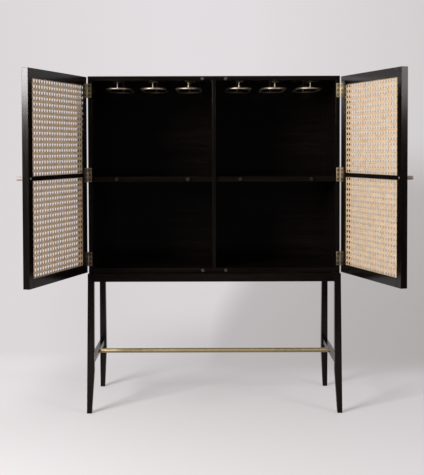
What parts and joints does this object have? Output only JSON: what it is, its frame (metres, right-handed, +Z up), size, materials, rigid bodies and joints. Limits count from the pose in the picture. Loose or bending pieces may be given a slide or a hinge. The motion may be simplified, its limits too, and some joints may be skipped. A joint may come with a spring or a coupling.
{
  "type": "bar armoire",
  "caption": "Tall two-door bar cabinet on splayed legs: caned doors on butt hinges, divided shelved interior, hanging loops for stemmed glasses and a low brass cross rail.",
  "frame": {"origin": "under the middle of the part's bounding box, on the floor, with the doors standing open", "axes": "+Z up, +Y towards the back of the cabinet, so the open doors reach towards -Y, and +X to the right as seen from the front"},
  "size_m": [1.395, 0.9156, 1.34],
  "materials": {
    "black_wood": "black-stained open-grain timber, satin",
    "brass": "satin brushed brass",
    "steel": "nickel-plated steel, satin",
    "cane": "natural woven cane, open mesh"
  },
  "bodies": {
    "cabinet": {"top_panel": "black_wood", "bottom_panel": "black_wood", "centre_divider": "black_wood", "back_panel": "black_wood", "side_panel_left": "black_wood", "side_panel_right": "black_wood", "shelf_left": "black_wood", "shelf_right": "black_wood", "apron_front": "black_wood", "apron_rear": "black_wood", "apron_left": "black_wood", "apron_right": "black_wood", "leg_front_left": "black_wood", "leg_front_right": "black_wood", "leg_rear_left": "black_wood", "leg_rear_right": "black_wood", "side_stretcher_left": "black_wood", "side_stretcher_right": "black_wood", "brass_rail": "brass", "catch_magnet_left_upper": "steel", "catch_magnet_left_lower": "steel", "catch_magnet_right_upper": "steel", "catch_magnet_right_lower": "steel", "frame_hinge_leaf_left_lower": "brass", "frame_hinge_leaf_left_middle": "brass", "frame_hinge_leaf_left_upper": "brass", "frame_hinge_leaf_right_lower": "brass", "frame_hinge_leaf_right_middle": "brass", "frame_hinge_leaf_right_upper": "brass", "stemware_rail_left_1": "brass", "stemware_rail_left_2": "brass", "stemware_rail_left_3": "brass", "stemware_rail_right_1": "brass", "stemware_rail_right_2": "brass", "stemware_rail_right_3": "brass"},
    "left_door": {"left_door_hinge_stile": "black_wood", "left_door_free_stile": "black_wood", "left_door_bottom_rail": "black_wood", "left_door_middle_rail": "black_wood", "left_door_top_rail": "black_wood", "left_door_cane_lower": "cane", "left_door_cane_upper": "cane", "left_door_knob": "brass", "left_door_knob_screw": "brass", "left_door_hinge_leaf_lower": "brass", "left_door_hinge_leaf_middle": "brass", "left_door_hinge_leaf_upper": "brass"},
    "right_door": {"right_door_hinge_stile": "black_wood", "right_door_free_stile": "black_wood", "right_door_bottom_rail": "black_wood", "right_door_middle_rail": "black_wood", "right_door_top_rail": "black_wood", "right_door_cane_lower": "cane", "right_door_cane_upper": "cane", "right_door_knob": "brass", "right_door_knob_screw": "brass", "right_door_hinge_leaf_lower": "brass", "right_door_hinge_leaf_middle": "brass", "right_door_hinge_leaf_upper": "brass"}
  },
  "joints": [
    {"name": "left_door_hinge", "type": "hinge", "parent": "cabinet", "child": "left_door", "pos_m": [-0.5027, 0.02133, 0.9485], "axis": [0, 0, -1], "range_deg": [-107, 68]},
    {"name": "right_door_hinge", "type": "hinge", "parent": "cabinet", "child": "right_door", "pos_m": [0.5027, 0.02133, 0.9485], "axis": [0, 0, 1], "range_deg": [-107, 68]}
  ]
}
